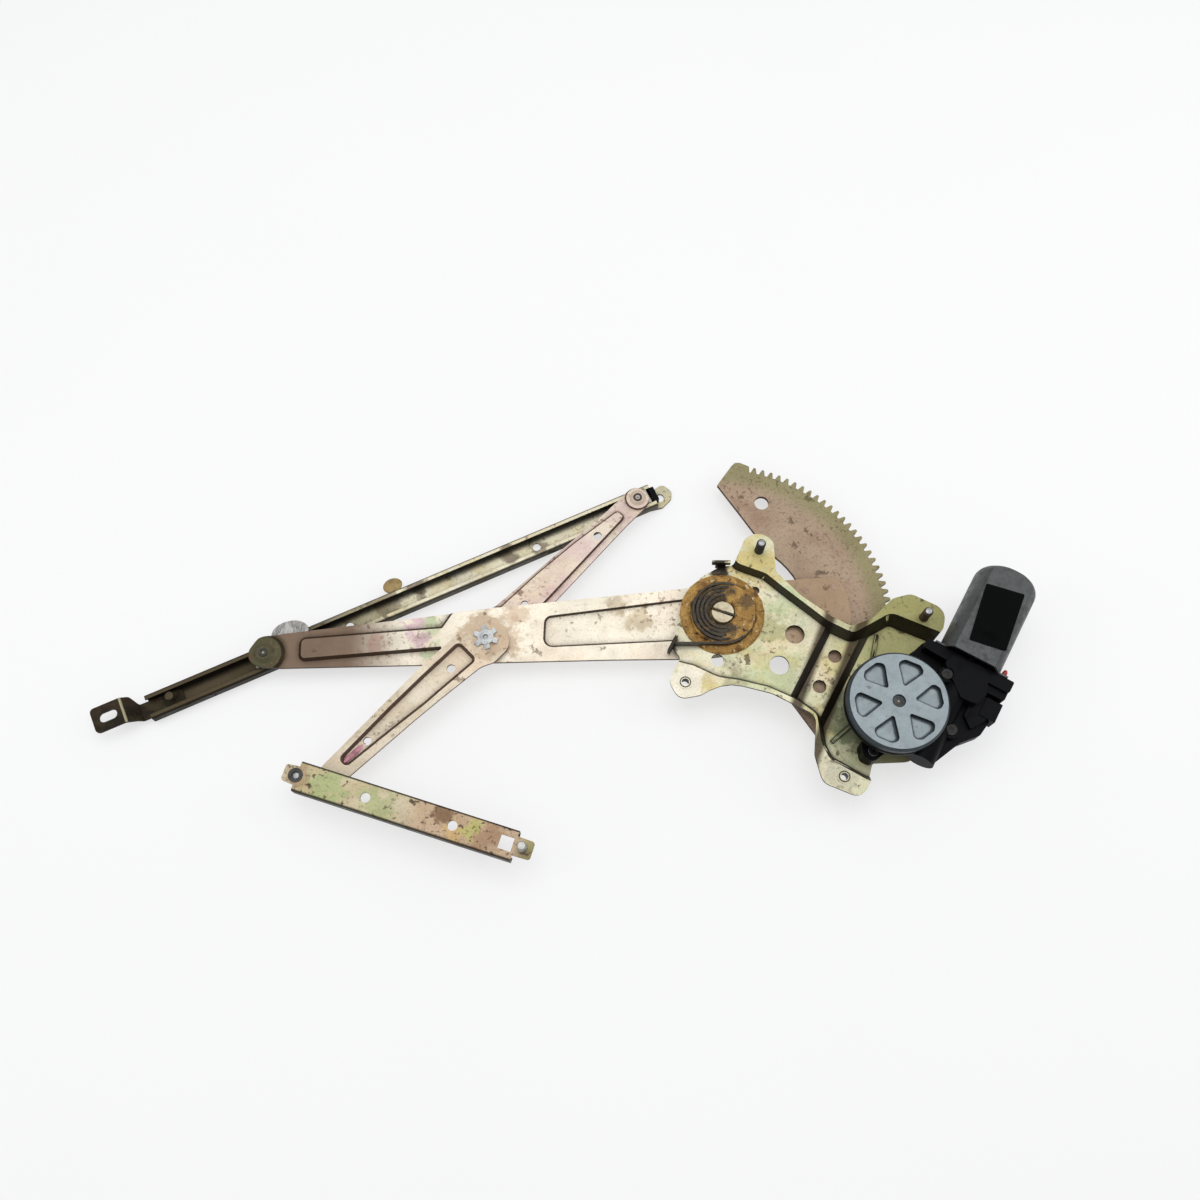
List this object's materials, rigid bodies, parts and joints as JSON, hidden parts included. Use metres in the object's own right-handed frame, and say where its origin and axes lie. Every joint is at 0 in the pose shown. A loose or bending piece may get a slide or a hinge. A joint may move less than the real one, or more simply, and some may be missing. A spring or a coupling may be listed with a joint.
{
  "type": "power window regulator",
  "caption": "Power window regulator with crossed arms, toothed sector, lift rail, lower guide rail, stamped base plate, counterbalance spring and geared motor.",
  "frame": {"origin": "centre of the upper stud's foot, on the plate's mounting face", "axes": "+X towards the motor side in plan, +Y up in the picture's plan, +Z from the mounting face towards the inner door panel, along the studs"},
  "size_m": [0.6443, 0.2929, 0.0524],
  "materials": {
    "yellow_zinc_steel": "zinc plated and yellow passivated steel sheet, iridescent",
    "plain_steel": "turned or headed steel, bare or lightly plated",
    "spring_steel": "dark tempered strip",
    "satin_alloy": "pressed light alloy cover, satin",
    "galvanised_steel": "galvanised steel can",
    "grease": "nylon sliding disc under old orange grease",
    "nylon": "natural nylon, slightly see-through at thin edges",
    "black_plastic": "black moulded plastic or rubber",
    "bronze": "sintered bronze or plain brass",
    "copper": "copper bars and wound core",
    "red_plastic": "red moulded plug",
    "ferrite": "sintered ferrite"
  },
  "bodies": {
    "base": {"base_plate": "yellow_zinc_steel", "upper_stud": "plain_steel", "right_stud": "plain_steel", "plate_weld_nuts": "plain_steel", "pivot_bush": "bronze", "sliding_disc": "grease", "counterbalance_spring": "spring_steel", "gear_housing": "black_plastic", "gear_cover": "satin_alloy", "connector_block": "black_plastic", "connector_pins": "bronze", "motor_screws": "plain_steel", "vent_plug": "red_plastic", "motor_can": "galvanised_steel", "motor_pad": "black_plastic", "end_bearing": "bronze", "field_magnets": "ferrite", "brush_holder": "black_plastic"},
    "lift_arm": {"lift_arm": "yellow_zinc_steel", "sector_gear": "yellow_zinc_steel", "sector_rivets": "yellow_zinc_steel", "main_pivot_pin": "plain_steel", "lift_arm_guide_pin": "plain_steel", "cross_bush": "bronze"},
    "cross_arms": {"lower_cross_arm": "yellow_zinc_steel", "upper_cross_arm": "yellow_zinc_steel", "cross_rivet": "plain_steel", "upper_guide_pin": "plain_steel", "lower_guide_pin": "plain_steel"},
    "lift_arm_guide": {"lift_arm_guide": "nylon"},
    "upper_arm_guide": {"upper_arm_guide": "nylon"},
    "lower_arm_guide": {"lower_arm_guide": "nylon"},
    "lift_rail": {"lift_rail": "yellow_zinc_steel", "left_rail_bracket": "yellow_zinc_steel", "right_rail_bracket": "yellow_zinc_steel", "rail_stop_tab": "yellow_zinc_steel", "rail_end_clip": "black_plastic"},
    "lower_rail": {"lower_rail": "yellow_zinc_steel", "lower_rail_nut": "plain_steel", "lower_rail_stud": "plain_steel"},
    "output": {"pinion": "plain_steel", "output_shaft": "plain_steel", "worm_wheel": "nylon", "drive_damper": "black_plastic", "drive_plate": "plain_steel"},
    "armature": {"armature_shaft": "plain_steel", "armature_core": "copper", "commutator": "copper"}
  },
  "joints": [
    {"name": "lift_arm_swing", "type": "hinge", "parent": "base", "child": "lift_arm", "pos_m": [-0.0269, -0.0459, -0.012], "axis": [0, 0, 1], "range_deg": [-68, 14], "deforming": ["counterbalance_spring"]},
    {"name": "output_turn", "type": "hinge", "parent": "base", "child": "output", "pos_m": [0.08225, -0.11651, -0.015], "axis": [0, 0, 1], "range_deg": [-170, 820]},
    {"name": "armature_turn", "type": "hinge", "parent": "base", "child": "armature", "pos_m": [0.109, -0.13177, 0.007], "axis": [0.4955, 0.8686, 0], "continuous": true},
    {"name": "cross_arms_swing", "type": "hinge", "parent": "lift_arm", "child": "cross_arms", "pos_m": [-0.19053, -0.06281, -0.012], "axis": [0, 0, 1], "range_deg": [0, 40]},
    {"name": "lift_arm_guide_turn", "type": "hinge", "parent": "lift_arm", "child": "lift_arm_guide", "pos_m": [-0.34336, -0.0735, -0.018], "axis": [0, 0, 1], "range_deg": [0, 20]},
    {"name": "upper_arm_guide_turn", "type": "hinge", "parent": "cross_arms", "child": "upper_arm_guide", "pos_m": [-0.0843, 0.04758, -0.018], "axis": [0, 0, 1], "range_deg": [-20, 0]},
    {"name": "lift_rail_slide", "type": "slide", "parent": "lift_arm_guide", "child": "lift_rail", "axis": [0.9059, 0.4234, 0], "range_m": [0, 0.05]},
    {"name": "lower_guide_turn", "type": "hinge", "parent": "cross_arms", "child": "lower_arm_guide", "pos_m": [-0.2952, -0.16603, -0.008], "axis": [0, 0, 1], "range_deg": [-20, 15]},
    {"name": "lower_rail_slide", "type": "slide", "parent": "lower_arm_guide", "child": "lower_rail", "axis": [0.9532, -0.3024, 0], "range_m": [-0.11, 0]}
  ],
  "couplings": [
    {"joint": "output_turn", "follows": "lift_arm_swing", "ratio": -12},
    {"joint": "lift_arm_guide_turn", "follows": "cross_arms_swing", "ratio": 0.5},
    {"joint": "upper_arm_guide_turn", "follows": "cross_arms_swing", "ratio": -0.5}
  ]
}
